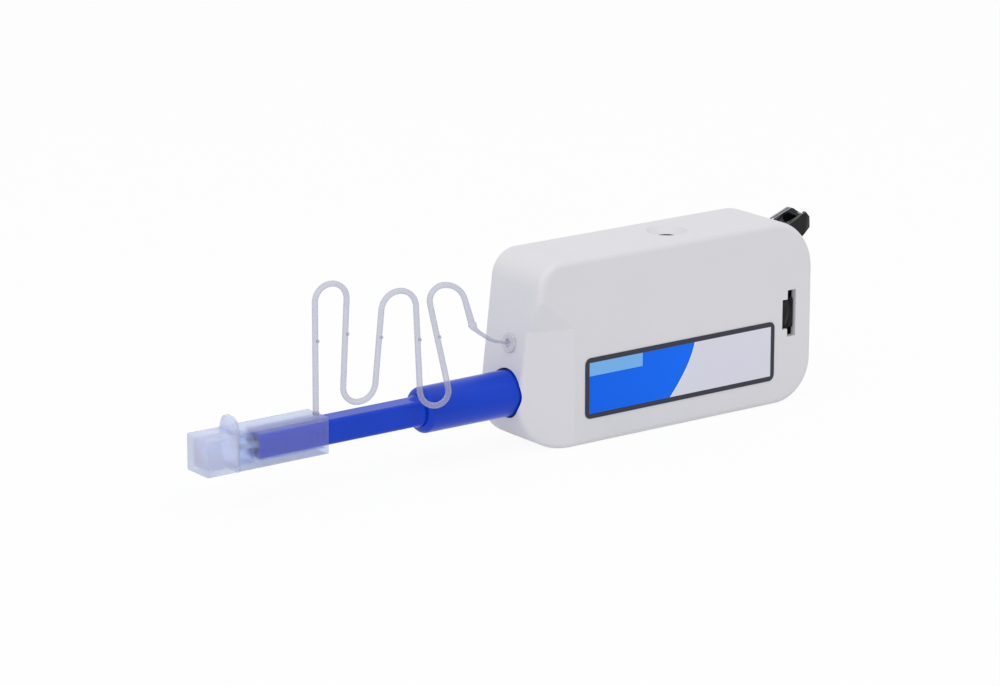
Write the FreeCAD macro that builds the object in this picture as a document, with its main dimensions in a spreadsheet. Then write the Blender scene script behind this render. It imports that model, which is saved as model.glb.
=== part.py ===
import FreeCAD, Part
doc = FreeCAD.newDocument("FibreCleaningPen")
import math
import os
import re
import Sketcher

# Driving dimensions in millimetres. Stations along the pen run from the housing's front foot towards the
# rear, heights from the flat bottom, and the barrel's axis lies on the middle plane.
SIZES = {
    "restCentre": 25.4,
    "axisHeight": 10.2,
    # moulded housing
    "housingRear": 57.8,
    "housingHeight": 34.6,
    "housingThickness": 14.6,
    "wall": 1.2,
    "frontFoot": -8.65,
    "frontTop": -4.55,
    "frontBottomRadius": 8.5,
    "frontTopRadius": 5.0,
    "rearTopRadius": 9.8,
    "rearBottomRadius": 8.0,
    "rimRadius": 1.3,
    "scoopStation": 28.9,
    "scoopRadius": 3.8,
    "scoopDepth": 1.6,
    "facetStation": 2.6,
    "facetHeight": 22.0,
    "facetAngle": 15.8,
    "facetLean": 18.4,
    "facetEdgeRadius": 1.0,
    "portGap": 0.32,
    "portMouth": -1.0,
    "noseDepth": 3.6,
    "noseSide": 3.0,
    "coverRadius": 0.4,
    "lipHeight": 1.5,
    "lipWidth": 1.0,
    # window in the near side and the hook that shows in it
    "windowStation": 51.7,
    "windowLength": 1.95,
    "windowLow": 12.6,
    "windowHigh": 21.4,
    "windowStep": 1.2,
    "hookLow": 14.2,
    "hookHigh": 19.6,
    "fitGap": 0.1,
    # chassis and its strap lug
    "chassisLow": 2.5,
    "plateWidth": 1.2,
    "backingStation": 49.5,
    "columnStation": 54.7,
    "columnWidth": 1.3,
    "lugStation": 54.3,
    "lugLow": 27.2,
    "lugWidth": 4.8,
    "lugReach": 3.1,
    "lugEye": 1.3,
    "lugTilt": 33.0,
    "postStation": 22.5,
    "postHeight": 15.9,
    "postRadius": 1.4,
    # barrel and nozzle
    "barrelRadius": 4.2,
    "barrelFront": -26.4,
    "barrelRear": 10.0,
    "barrelBore": 3.25,
    "barrelTailBore": 2.5,
    "barrelTaper": 0.1,
    "barrelMouth": 2.2,
    "mouthRadius": 2.95,
    "springSeat": -8.0,
    "runningGap": 0.05,
    "nozzleWidth": 4.5,
    "nozzleFront": -60.5,
    "nozzleBore": 1.75,
    "nozzleTail": -15.0,
    # guide cap and lid
    "capWidth": 6.6,
    "capRear": -47.3,
    "capFront": -65.3,
    "capStop": 1.2,
    "lidLength": 6.4,
    "lidWall": 0.9,
    "hingeRise": 0.2,
    "hingeRadius": 0.35,
    # reels, gear and stroke
    "takeUpStation": 28.2,
    "supplyStation": 46.2,
    "reelHeight": 24.0,
    "reelRadius": 8.2,
    "reelWidth": 5.0,
    "hubRadius": 2.6,
    "flangeWidth": 0.6,
    "axleRadius": 1.5,
    "fullRoll": 6.6,
    "startRoll": 3.6,
    "gearModule": 0.8,
    "gearTeeth": 20,
    "gearWidth": 1.6,
    # carriage and return spring
    "armGap": 3.0,
    "armWidth": 1.6,
    "armLow": 12.6,
    "armHigh": 15.0,
    "farArmHigh": 14.2,
    "armRear": 33.0,
    "carriageFront": 4.0,
    "carriageRear": 11.2,
    "bulkheadStation": 35.0,
    "springHeight": 4.9,
    "springRadius": 1.9,
    "springWire": 0.45,
    # cleaning shaft
    "shaftRadius": 0.9,
    "tipRadius": 0.6,
    "tipReach": 3.0,
    "tapeWidth": 0.5,
    "tapeThickness": 0.25,
    "tapeSpread": 1.2,
    "tapeRise": 20.85,
    # tether and label
    "strapWidth": 1.15,
    "buttonRadius": 2.0,
    "buttonStem": 1.15,
    "buttonHead": 0.5,
    "buttonHeight": 19.3,
    "labelFront": 4.9,
    "labelRear": 48.6,
    "labelLow": 4.85,
    "labelHigh": 16.05,
    "labelThickness": 0.12,
}

# Route of the strap's middle line in its own upright plane: (along, up) from its foot on the cap.
STRAP_YAW = -10.8
STRAP_ROUTE = [
    (0, 0), (0.1, 22.8), (6.1, 22.8), (5.0, 1.3), (10.9, 1.3), (12.7, 20.1), (18.8, 20.1), (19.7, -1.2),
    (25.6, -1.2), (20.9, 20.2), (27.3, 20.2), (29.6, 12.5),
]

sheet = doc.addObject("Spreadsheet::Sheet", "sizes")
for row, (alias, value) in enumerate(SIZES.items(), 1):
    sheet.set(f"A{row}", alias)
    sheet.set(f"B{row}", str(value))
    sheet.setAlias(f"B{row}", alias)
doc.recompute()
pieces = []


def link(expression):
    """Write each named size as a cell of the sheet."""
    return re.sub(r"[A-Za-z]\w*", lambda m: f"sizes.{m[0]}" if m[0] in SIZES else m[0], str(expression))


def bind(target, path, expression):
    target.setExpression(path, link(expression))


def new_body(label, station="0", across="0", height="0"):
    body = doc.addObject("PartDesign::Body", label)
    body.Label = label
    pieces.append(body)
    bind(body, "Placement.Base.x", f"{station} - restCentre")
    bind(body, "Placement.Base.y", across)
    bind(body, "Placement.Base.z", height)
    return body


def value(body, expression):
    result = body.evalExpression(link(expression))
    return float(getattr(result, "Value", result))


def new_sketch(body, name, plane, offset="0"):
    """Attach a sketch to one of the body's own origin planes: side is X-Z, cross is Y-Z, plan is X-Y."""
    role = {"side": "XZ_Plane", "cross": "YZ_Plane", "plan": "XY_Plane"}[plane]
    sketch = body.newObject("Sketcher::SketchObject", name)
    origin_plane = next(item for item in body.Origin.OriginFeatures if item.Role == role)
    sketch.AttachmentSupport = [(origin_plane, "")]
    sketch.MapMode = "FlatFace"
    bind(sketch, "AttachmentOffset.Base.z", offset)
    return sketch


def hold(sketch, kind, first, expression, name):
    """Dimension a point or a circle and bind the dimension to the sheet."""
    amount = value(sketch, expression)
    place = (-1, 1, *first) if kind != "Radius" else first
    number = sketch.addConstraint(Sketcher.Constraint(kind, *place, amount))
    sketch.renameConstraint(number, name)
    bind(sketch, f"Constraints.{name}", expression)


def add_outline(sketch, points):
    """Draw a closed outline. A point is (across, up) or (across, up, radius) where its corner is rounded."""
    corners = [FreeCAD.Vector(value(sketch, point[0]), value(sketch, point[1]), 0) for point in points]
    count = len(points)
    starts, ends, arcs = [], [], {}
    for index, point in enumerate(points):
        corner = corners[index]
        starts.append(corner)
        ends.append(corner)
        if len(point) < 3:
            continue
        back = (corners[index - 1] - corner).normalize()
        ahead = (corners[(index + 1) % count] - corner).normalize()
        radius = value(sketch, point[2])
        half = back.getAngle(ahead) / 2
        ends[index] = corner + back * (radius / math.tan(half))
        starts[index] = corner + ahead * (radius / math.tan(half))
        centre = corner + (back + ahead).normalize() * (radius / math.sin(half))
        leftward = back.cross(ahead).z < 0
        first, last = (ends[index], starts[index]) if leftward else (starts[index], ends[index])
        angles = [math.atan2(at.y - centre.y, at.x - centre.x) for at in (first, last)]
        if angles[1] < angles[0]:
            angles[1] += 2 * math.pi
        circle = Part.Circle(centre, FreeCAD.Vector(0, 0, 1), radius)
        arcs[index] = (Part.ArcOfCircle(circle, *angles), 1 if leftward else 2)
    lines = [sketch.addGeometry(Part.LineSegment(starts[i], ends[(i + 1) % count])) for i in range(count)]
    for index, point in enumerate(points):
        before, after = lines[index - 1], lines[index]
        if index not in arcs:
            sketch.addConstraint(Sketcher.Constraint("Coincident", before, 2, after, 1))
            spot = (after, 1)
        else:
            arc, near_end = arcs[index]
            number = sketch.addGeometry(arc)
            corner = sketch.addGeometry(Part.Point(corners[index]), True)
            sketch.addConstraint(Sketcher.Constraint("PointOnObject", corner, 1, before))
            sketch.addConstraint(Sketcher.Constraint("PointOnObject", corner, 1, after))
            sketch.addConstraint(Sketcher.Constraint("Tangent", before, 2, number, near_end))
            sketch.addConstraint(Sketcher.Constraint("Tangent", after, 1, number, 3 - near_end))
            hold(sketch, "Radius", (number,), point[2], f"r{number}")
            spot = (corner, 1)
        hold(sketch, "DistanceX", spot, point[0], f"x{spot[0]}")
        hold(sketch, "DistanceY", spot, point[1], f"y{spot[0]}")
    return sketch


def add_circle(sketch, across, up, radius):
    centre = FreeCAD.Vector(value(sketch, across), value(sketch, up), 0)
    number = sketch.addGeometry(Part.Circle(centre, FreeCAD.Vector(0, 0, 1), value(sketch, radius)))
    hold(sketch, "DistanceX", (number, 3), across, f"x{number}")
    hold(sketch, "DistanceY", (number, 3), up, f"y{number}")
    hold(sketch, "Radius", (number,), radius, f"r{number}")
    return sketch


def feature(body, kind, name, sketch, length=None, reverse=False, middle=False):
    """Pad or pocket a sketch. A sketch on the side plane grows towards the label unless it is reversed."""
    made = body.newObject(f"PartDesign::{kind}", name)
    made.Profile = sketch
    if length is not None:
        bind(made, "Length", length)
    made.Reversed = reverse
    if middle:
        made.Midplane = True
    doc.recompute()
    return made


def block(body, kind, name, plane, points, offset, length, reverse=False, middle=False):
    sketch = add_outline(new_sketch(body, f"{name}Outline", plane, offset), points)
    return feature(body, kind, name, sketch, length, reverse, middle)


def disc(body, kind, name, plane, circles, offset, length, reverse=False, middle=False):
    sketch = new_sketch(body, f"{name}Circle", plane, offset)
    for across, up, radius in circles:
        add_circle(sketch, across, up, radius)
    return feature(body, kind, name, sketch, length, reverse, middle)


def turn(body, kind, name, plane, points, axis):
    """Revolve an outline about the sketch's own axis."""
    sketch = add_outline(new_sketch(body, f"{name}Outline", plane), points)
    made = body.newObject(f"PartDesign::{kind}", name)
    made.Profile = sketch
    made.ReferenceAxis = (sketch, [axis])
    made.Angle = 360
    doc.recompute()
    return made


def soften(body, name, base, wanted, radius, kind="Fillet"):
    """Fillet or chamfer the edges of a feature that a test picks out."""
    names = [f"Edge{i}" for i, edge in enumerate(base.Shape.Edges, 1) if wanted(edge)]
    made = body.newObject(f"PartDesign::{kind}", name)
    made.Base = (base, names)
    bind(made, "Radius" if kind == "Fillet" else "Size", radius)
    doc.recompute()
    return made


def rect(left, low, right, high):
    return [(left, low), (right, low), (right, high), (left, high)]


def runs_along(edge, axis):
    """True for a straight edge parallel to X, Y or Z."""
    if not isinstance(edge.Curve, (Part.Line, Part.LineSegment)):
        return False
    direction = edge.tangentAt(edge.FirstParameter)
    return abs(getattr(direction, axis)) > 0.999


def side_outline(inset="0"):
    """The housing's side outline with its four rounded corners, moved inwards by a wall."""
    slope = "(frontTop - frontFoot) / housingHeight"
    rear = f"housingRear - ({inset})"
    low = inset
    high = f"housingHeight - ({inset})"
    return [
        (f"frontFoot + ({slope} + 1) * ({inset})", low, f"frontBottomRadius - ({inset})"),
        (rear, low, f"rearBottomRadius - ({inset})"),
        (rear, high, f"rearTopRadius - ({inset})"),
        (f"frontTop + (1 - {slope}) * ({inset})", high, f"frontTopRadius - ({inset})"),
    ]


def rear_outline(inset, front="noseDepth"):
    """The same outline behind the nose only, square at the front."""
    outline = side_outline(inset)
    return [(front, inset), outline[1], outline[2], (front, outline[2][1])]


def owners(shape, edge):
    return [face for face in shape.Faces if any(edge.isSame(other) for other in face.Edges)]


def round_rim(body, base, side, radius):
    """Round the outline's edge where it meets one flat side."""
    def on_rim(edge):
        return max(abs(edge.BoundBox.YMin - side), abs(edge.BoundBox.YMax - side)) < 0.01

    return soften(body, "Rim", base, on_rim, radius)


def cut_corner_facet(body):
    """Plane the near front corner back to the barrel's width. The upper plane leans out and ends the cut."""
    turned = FreeCAD.Rotation(FreeCAD.Vector(0, 0, 1), -value(body, "facetAngle"))
    leaning = turned * FreeCAD.Rotation(FreeCAD.Vector(1, 0, 0), value(body, "facetLean"))
    near = -value(body, "housingThickness / 2")
    for name, height, rotation, length in (("LowerFacet", "-1", turned, "facetHeight + 1"),
                                           ("UpperFacet", "facetHeight", leaning, "14")):
        cut = body.newObject("PartDesign::SubtractiveBox", name)
        cut.Length = 18
        cut.Width = 6
        bind(cut, "Height", length)
        corner = FreeCAD.Vector(value(body, "facetStation"), near, value(body, height))
        cut.Placement = FreeCAD.Placement(corner, rotation) * FreeCAD.Placement(FreeCAD.Vector(-14, -6, 0),
                                                                                FreeCAD.Rotation())
        doc.recompute()

    def is_facet(face):
        normal = face.normalAt(0, 0)
        return isinstance(face.Surface, Part.Plane) and normal.y < -0.8 and normal.x < -0.2

    def front_edge(edge):
        facets = [face for face in owners(cut.Shape, edge) if is_facet(face)]
        others = [face for face in owners(cut.Shape, edge) if not is_facet(face)]
        return len(facets) == 1 and abs(others[0].CenterOfMass.y - near) > 0.1

    return soften(body, "FacetEdge", cut, front_edge, "facetEdgeRadius")


def make_housing_shell():
    body = new_body("housing_shell")
    solid = block(body, "Pad", "Mass", "side", side_outline(), "housingThickness / 2", "housingThickness - wall",
                  True)
    round_rim(body, solid, -value(body, "housingThickness / 2"), "rimRadius")

    # Main cavity behind the nose, and the core above the barrel's guide.
    inner_side = "housingThickness / 2 - wall"
    block(body, "Pocket", "Cavity", "side", rear_outline("wall"), inner_side, "housingThickness - wall")
    guide = "barrelRadius + runningGap"
    slope = "(frontTop - frontFoot) / housingHeight"
    floor = f"axisHeight + {guide} + wall"
    ceiling = "housingHeight - wall - 0.2"
    core = [
        (f"frontFoot + {slope} * ({floor}) + 1.4 * wall", floor, "0.8"), ("noseDepth + 1", floor),
        ("noseDepth + 1", ceiling),
        (f"frontFoot + {slope} * ({ceiling}) + 1.4 * wall", ceiling, "frontTopRadius - wall"),
    ]
    block(body, "Pocket", "NoseCore", "side", core, "noseSide", f"{inner_side} + noseSide + 1")
    disc(body, "Pocket", "ButtonHole", "cross", [("0", "buttonHeight", "buttonStem + fitGap / 2")],
         "frontFoot - 2", "8", True)

    # Finger scoop on top, deep enough to break through over the take-up reel.
    scoop = body.newObject("PartDesign::SubtractiveSphere", "FingerScoop")
    ball = "(scoopRadius ^ 2 + scoopDepth ^ 2) / (2 * scoopDepth)"
    bind(scoop, "Radius", ball)
    bind(scoop, "Placement.Base.x", "scoopStation")
    bind(scoop, "Placement.Base.z", f"housingHeight + {ball} - scoopDepth")
    doc.recompute()

    # Stepped window in the near side for the chassis hook, and the slot that the strap lug comes through.
    window = rect("windowStation", "windowLow", "windowStation + windowLength", "windowHigh")
    block(body, "Pocket", "WindowSlot", "side", window, "housingThickness / 2 + 1", "wall + 2")
    step = rect("windowStation - windowStep", "hookLow - fitGap", "windowStation + 0.1", "hookHigh + fitGap")
    block(body, "Pocket", "WindowStep", "side", step, "housingThickness / 2 + 1", "wall + 2")
    slot = rect("lugStation - fitGap", "lugLow", "housingRear + 2", "housingHeight + 1")
    block(body, "Pocket", "LugSlot", "side", slot, "0", "lugWidth + 2 * fitGap", False, True)

    # Rib on the floor that the chassis bulkhead stands on.
    rib = rect("bulkheadStation", "wall - 0.1", "bulkheadStation + 2", "chassisLow - 0.02")
    block(body, "Pad", "FloorRib", "side", rib, inner_side, "3.5", True)
    cut_corner_facet(body)
    for name, radius, length in (("BarrelPort", guide, "noseDepth - frontFoot + 4"),
                                 ("PortMouth", "barrelRadius + portGap", "portMouth - frontFoot + 2")):
        port = body.newObject("PartDesign::SubtractiveCylinder", name)
        bind(port, "Radius", radius)
        bind(port, "Height", length)
        port.Placement = FreeCAD.Placement(FreeCAD.Vector(), FreeCAD.Rotation(FreeCAD.Vector(0, 1, 0), 90))
        bind(port, "Placement.Base.x", "frontFoot - 2")
        bind(port, "Placement.Base.z", "axisHeight")
        doc.recompute()
    return body


def make_side_cover():
    body = new_body("side_cover")
    joint_face = "-(housingThickness / 2 - wall)"
    plate = block(body, "Pad", "Plate", "side", side_outline(), joint_face, "wall", True)
    round_rim(body, plate, value(body, "housingThickness / 2"), "coverRadius")
    # Lip that drops inside the shell's wall.
    lip = rear_outline("wall + fitGap", "noseDepth + fitGap")
    block(body, "Pad", "Lip", "side", lip, joint_face, "lipHeight")
    inner = rear_outline("wall + fitGap + lipWidth", "noseDepth - 1")
    block(body, "Pocket", "LipHollow", "side", inner, f"{joint_face} + lipHeight + 1", "lipHeight + 1")
    return body


def make_chassis():
    body = new_body("chassis")
    cover_face = "-(housingThickness / 2 - wall)"
    plate_face = f"{cover_face} + plateWidth"
    low = "chassisLow"
    outline = rear_outline("wall + lipWidth + 3 * fitGap", "noseDepth + lipWidth + 3 * fitGap")
    block(body, "Pad", "Plate", "side", outline, cover_face, "plateWidth")

    # Axles with shoulders that hold the reels on the middle plane, and the post that turns the tape.
    reach = f"-({plate_face})"
    stations = ["takeUpStation", "supplyStation"]
    disc(body, "Pad", "Shoulders", "side", [(at, "reelHeight", "axleRadius + 0.8") for at in stations],
         plate_face, f"{reach} - reelWidth / 2 - fitGap")
    disc(body, "Pad", "Axles", "side", [(at, "reelHeight", "axleRadius") for at in stations], plate_face,
         f"{reach} + reelWidth / 2 + gearWidth + 0.9")
    disc(body, "Pad", "TapePost", "side", [("postStation", "postHeight", "postRadius")], plate_face,
         f"{reach} - 0.2")

    # Bulkhead: bearing of the cleaning shaft and seat of the return spring.
    wall = rect("bulkheadStation", low, "bulkheadStation + 2", "armLow - 0.2")
    block(body, "Pad", "Bulkhead", "side", wall, plate_face, f"{reach} + armGap + armWidth")
    disc(body, "Pad", "SpringSpigot", "cross", [("0", "springHeight", "springRadius - springWire - 0.15")],
         "bulkheadStation - 2", "2.1")
    disc(body, "Pocket", "ShaftBearing", "cross", [("0", "axisHeight", "shaftRadius + runningGap")],
         "bulkheadStation - 1", "4", True)

    # Rear column, the backing behind the window, and the hook that snaps into it.
    near = "housingThickness / 2 - wall - 0.2"
    root = rect("columnStation - 1.4", "rearBottomRadius", "columnStation + 0.5", "reelHeight - 4.4")
    block(body, "Pad", "ColumnRoot", "side", root, plate_face, "2")
    column = rect("columnStation", "rearBottomRadius", "columnStation + columnWidth", "reelHeight")
    block(body, "Pad", "Column", "side", column, f"{cover_face} + lipHeight + fitGap",
          f"{reach} + {near} - lipHeight + plateWidth - fitGap")
    backing = rect("backingStation", "windowLow - 1.1", "columnStation + columnWidth", "windowHigh + 1.1")
    block(body, "Pad", "WindowBacking", "side", backing, near, "plateWidth", True)
    hook = rect("windowStation - windowStep + fitGap", "hookLow", "windowStation + 1.65", "hookHigh")
    block(body, "Pad", "Hook", "side", hook, near, "0.9")

    # Strap lug: a tilted tongue with a scooped eye, standing out of the rear of the housing.
    rear = "housingRear"
    high = "housingHeight"
    tongue = [
        ("columnStation", "reelHeight - 2"),
        ("columnStation + columnWidth", "reelHeight - 2"),
        (f"{rear} - 1.7", f"{high} - 7.0"),
        (f"{rear} + lugReach - 1.4", f"{high} - 4.8"),
        (f"{rear} + lugReach", f"{high} - 3.5"),
        (f"{rear} + lugReach - 0.1", f"{high} - 1.5"),
        (f"{rear} + lugReach - 1.0", f"{high} - 0.5"),
        (f"{rear} - 1.7", f"{high} - 2.3"),
        ("lugStation + 0.1", f"{high} - 2.55"),
        ("columnStation", f"{high} - 3.6"),
    ]
    block(body, "Pad", "StrapLug", "side", tongue, "0", "lugWidth", False, True)
    eye = body.newObject("PartDesign::SubtractiveCylinder", "LugEye")
    bind(eye, "Radius", "lugEye")
    eye.Height = 12
    turned = FreeCAD.Rotation(FreeCAD.Vector(0, 1, 0), -value(body, "lugTilt"))
    eye.Placement = FreeCAD.Placement(FreeCAD.Vector(0, 0, 0), turned)
    bind(eye, "Placement.Base.x", f"{rear} + 1.15 + 6 * sin(lugTilt)")
    bind(eye, "Placement.Base.z", f"{high} - 3.0 - 6 * cos(lugTilt)")
    doc.recompute()
    return body


def make_slider():
    body = new_body("slider")
    half = "armGap + armWidth + 0.2"
    cup = rect(f"-({half})", "axisHeight - 5.2", half, "armHigh")
    block(body, "Pad", "Cup", "cross", cup, "carriageFront", "carriageRear - carriageFront")
    disc(body, "Pocket", "BarrelSeat", "cross", [("0", "axisHeight", "barrelRadius + runningGap")], "barrelRear",
         "barrelRear - carriageFront + 1")
    disc(body, "Pocket", "TapeWay", "cross", [("0", "axisHeight", "barrelTailBore")], "barrelRear - 1", "4", True)
    near_arm = rect("carriageRear - 0.1", "armLow", "armRear", "armHigh")
    block(body, "Pad", "NearArm", "side", near_arm, "armGap + armWidth", "armWidth", True)
    far_arm = rect("carriageRear - 0.1", "armLow", "armRear", "farArmHigh")
    block(body, "Pad", "FarArm", "side", far_arm, "-armGap", "armWidth", True)
    lug = rect("carriageRear - 2", "springHeight - springRadius", "carriageRear", "axisHeight - 5.1")
    block(body, "Pad", "SpringLug", "side", lug, "0", "4", False, True)
    disc(body, "Pad", "SpringSpigot", "cross", [("0", "springHeight", "springRadius - springWire - 0.15")],
         "carriageRear", "2")
    # Rack that meshes with the drive gear.
    pitch = "gearModule * pi"
    line = "reelHeight - gearModule * gearTeeth / 2"
    half_tooth = f"{pitch} * 0.205"
    flank = "tan(20)"
    middle = f"takeUpStation - 4.5 * {pitch}"
    tooth = [
        (f"{middle} - {half_tooth} - ({line} - armHigh) * {flank}", "armHigh - 0.1"),
        (f"{middle} + {half_tooth} + ({line} - armHigh) * {flank}", "armHigh - 0.1"),
        (f"{middle} + {half_tooth} - 0.75 * gearModule * {flank}", f"{line} + 0.75 * gearModule"),
        (f"{middle} - {half_tooth} + 0.75 * gearModule * {flank}", f"{line} + 0.75 * gearModule"),
    ]
    rack = block(body, "Pad", "RackTooth", "side", tooth, "armGap + armWidth", "armWidth", True)
    row = body.newObject("PartDesign::LinearPattern", "Rack")
    row.Originals = [rack]
    row.Direction = (rack.Profile[0], ["H_Axis"])
    row.Occurrences = 7
    bind(row, "Length", f"6 * {pitch}")
    body.Tip = row
    doc.recompute()
    return body


def make_barrel():
    body = new_body("barrel", height="axisHeight")
    profile = [
        ("barrelFront", "mouthRadius"), ("barrelFront", "barrelRadius - barrelTaper"),
        ("noseDepth", "barrelRadius"), ("barrelRear", "barrelRadius"),
        ("barrelRear", "barrelTailBore"), ("springSeat", "barrelTailBore"), ("springSeat", "barrelBore"),
        ("barrelFront + barrelMouth", "barrelBore"), ("barrelFront + barrelMouth", "mouthRadius"),
    ]
    tube = turn(body, "Revolution", "Tube", "side", profile, "H_Axis")
    front = value(body, "barrelFront")
    outer = value(body, "barrelRadius - barrelTaper")

    def is_shoulder(edge):
        box = edge.BoundBox
        return abs(box.XMin - front) + abs(box.XMax - front) < 0.01 and abs(box.ZMax - outer) < 0.01

    soften(body, "Shoulder", tube, is_shoulder, "barrelRadius - barrelTaper - mouthRadius - 0.1")
    return body


def make_nozzle():
    body = new_body("nozzle", height="axisHeight")
    half = "nozzleWidth / 2"
    section = rect(f"-{half}", f"-{half}", half, half)
    flange = "barrelFront + barrelMouth + 0.3"
    stem = block(body, "Pad", "SquareTube", "cross", section, "nozzleFront", f"{flange} - nozzleFront + 0.1")
    stem = soften(body, "LongEdges", stem, lambda edge: runs_along(edge, "x"), "0.8")
    front = value(body, "nozzleFront")
    soften(body, "FrontRim", stem, lambda edge: abs(edge.BoundBox.XMax - front) < 0.01, "0.35")
    collar = [
        ("barrelFront - 1.8", "0"), ("barrelFront - 1.8", "nozzleWidth / 2 - 0.05"),
        ("barrelFront - 0.4", "mouthRadius - runningGap"), (flange, "mouthRadius - runningGap"), (flange, "0"),
    ]
    turn(body, "Revolution", "RoundCollar", "side", collar, "H_Axis")
    disc(body, "Pad", "Flange", "cross", [("0", "0", "barrelBore - 0.1")], flange, "1.2")
    disc(body, "Pad", "Tail", "cross", [("0", "0", "barrelTailBore - 0.15")], f"{flange} + 1.1",
         f"nozzleTail - ({flange}) - 1.1")
    disc(body, "Pocket", "Bore", "cross", [("0", "0", "nozzleBore")], "nozzleFront - 1",
         "nozzleTail - nozzleFront + 2", True)
    return body


def make_spring(label, start, end, radius, wire, turns, height):
    """Coil spring lying along the barrel's direction."""
    body = new_body(label, height=height)
    half = f"({wire}) * 0.44"
    middle = f"{start} + ({wire}) / 2"
    section = rect(f"{middle} - {half}", f"{radius} - {half}", f"{middle} + {half}", f"{radius} + {half}")
    sketch = add_outline(new_sketch(body, "Wire", "side"), section)
    coil = body.newObject("PartDesign::AdditiveHelix", "Coil")
    coil.Profile = sketch
    coil.ReferenceAxis = (sketch, ["H_Axis"])
    coil.Mode = 0
    coil.Angle = 0
    bind(coil, "Pitch", f"(({end}) - ({start}) - ({wire})) / {turns}")
    bind(coil, "Height", f"({end}) - ({start}) - ({wire})")
    doc.recompute()
    return body


def make_shaft():
    body = new_body("probe_shaft", height="axisHeight")
    collar = "shaftRadius + 0.35"
    front = "nozzleFront + 4.5"
    profile = [
        (front, "0"), (front, "shaftRadius"), ("bulkheadStation - 1.4", "shaftRadius"),
        ("bulkheadStation - 1.4", collar), ("bulkheadStation - fitGap", collar),
        ("bulkheadStation - fitGap", "shaftRadius"), ("bulkheadStation + 2 + fitGap", "shaftRadius"),
        ("bulkheadStation + 2 + fitGap", collar), ("bulkheadStation + 3", collar), ("bulkheadStation + 3", "0"),
    ]
    turn(body, "Revolution", "Turned", "side", profile, "H_Axis")
    return body


def make_tip():
    body = new_body("probe_tip", height="axisHeight")
    face = "nozzleFront - tipReach"
    shoulder = "tipRadius + 0.15"
    profile = [
        (face, "0"), (face, "tipRadius - 0.25"), (f"{face} + 0.3", "tipRadius"),
        ("nozzleFront - 0.4", "tipRadius"), ("nozzleFront + 0.3", shoulder), ("nozzleFront + 2.1", shoulder),
        ("nozzleFront + 2.1", "0.3"), ("nozzleFront + 4.2", "0.3"), ("nozzleFront + 4.2", "0"),
    ]
    turn(body, "Revolution", "Turned", "side", profile, "H_Axis")
    return body


def make_reel(label, station):
    body = new_body(label, station, height="reelHeight")
    half = "reelWidth / 2"
    inner = f"{half} - flangeWidth"
    bore = "axleRadius + runningGap"
    profile = [
        (bore, f"-{half}"), ("reelRadius", f"-{half}"), ("reelRadius", f"-({inner})"),
        ("hubRadius", f"-({inner})"), ("hubRadius", inner), ("reelRadius", inner), ("reelRadius", half),
        (bore, half),
    ]
    turn(body, "Revolution", "Spool", "plan", profile, "V_Axis")
    hole = disc(body, "Pocket", "FlangeHole", "side", [("0", "-(hubRadius + reelRadius) / 2 - 0.6", "1.3")],
                half, "reelWidth + 1")
    ring = body.newObject("PartDesign::PolarPattern", "FlangeHoles")
    ring.Originals = [hole]
    ring.Axis = (hole.Profile[0], ["N_Axis"])
    ring.Angle = 360
    ring.Occurrences = 3
    body.Tip = ring
    doc.recompute()
    return body


def make_roll(label, station, radius):
    body = new_body(label, station, height="reelHeight")
    half = "reelWidth / 2 - flangeWidth - 0.05"
    profile = rect("hubRadius + 0.02", f"-({half})", radius, half)
    turn(body, "Revolution", "Roll", "plan", profile, "V_Axis")
    return body


def make_gear():
    body = new_body("drive_gear", "takeUpStation", "-(reelWidth / 2 + 0.4 + gearWidth / 2)", "reelHeight")
    pitch_radius = "gearModule * gearTeeth / 2"
    root = f"{pitch_radius} - 1.2 * gearModule"
    disc(body, "Pad", "Web", "side", [("0", "0", root)], "0", "gearWidth", False, True)
    half = "gearModule * pi * 0.205"
    flank = "tan(20)"
    tip = "0.85 * gearModule"
    tooth = [
        (f"-({half} + 1.2 * gearModule * {flank})", f"-({root}) + 0.15"),
        (f"{half} + 1.2 * gearModule * {flank}", f"-({root}) + 0.15"),
        (f"{half} - {tip} * {flank}", f"-({pitch_radius}) - {tip}"),
        (f"-({half} - {tip} * {flank})", f"-({pitch_radius}) - {tip}"),
    ]
    made = block(body, "Pad", "Tooth", "side", tooth, "0", "gearWidth", False, True)
    ring = body.newObject("PartDesign::PolarPattern", "Teeth")
    ring.Originals = [made]
    ring.Axis = (made.Profile[0], ["N_Axis"])
    ring.Angle = 360
    ring.Occurrences = int(value(body, "gearTeeth"))
    body.Tip = ring
    doc.recompute()
    disc(body, "Pocket", "Bore", "side", [("0", "0", "axleRadius + runningGap")], "gearWidth", "2 * gearWidth")
    return body


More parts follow.
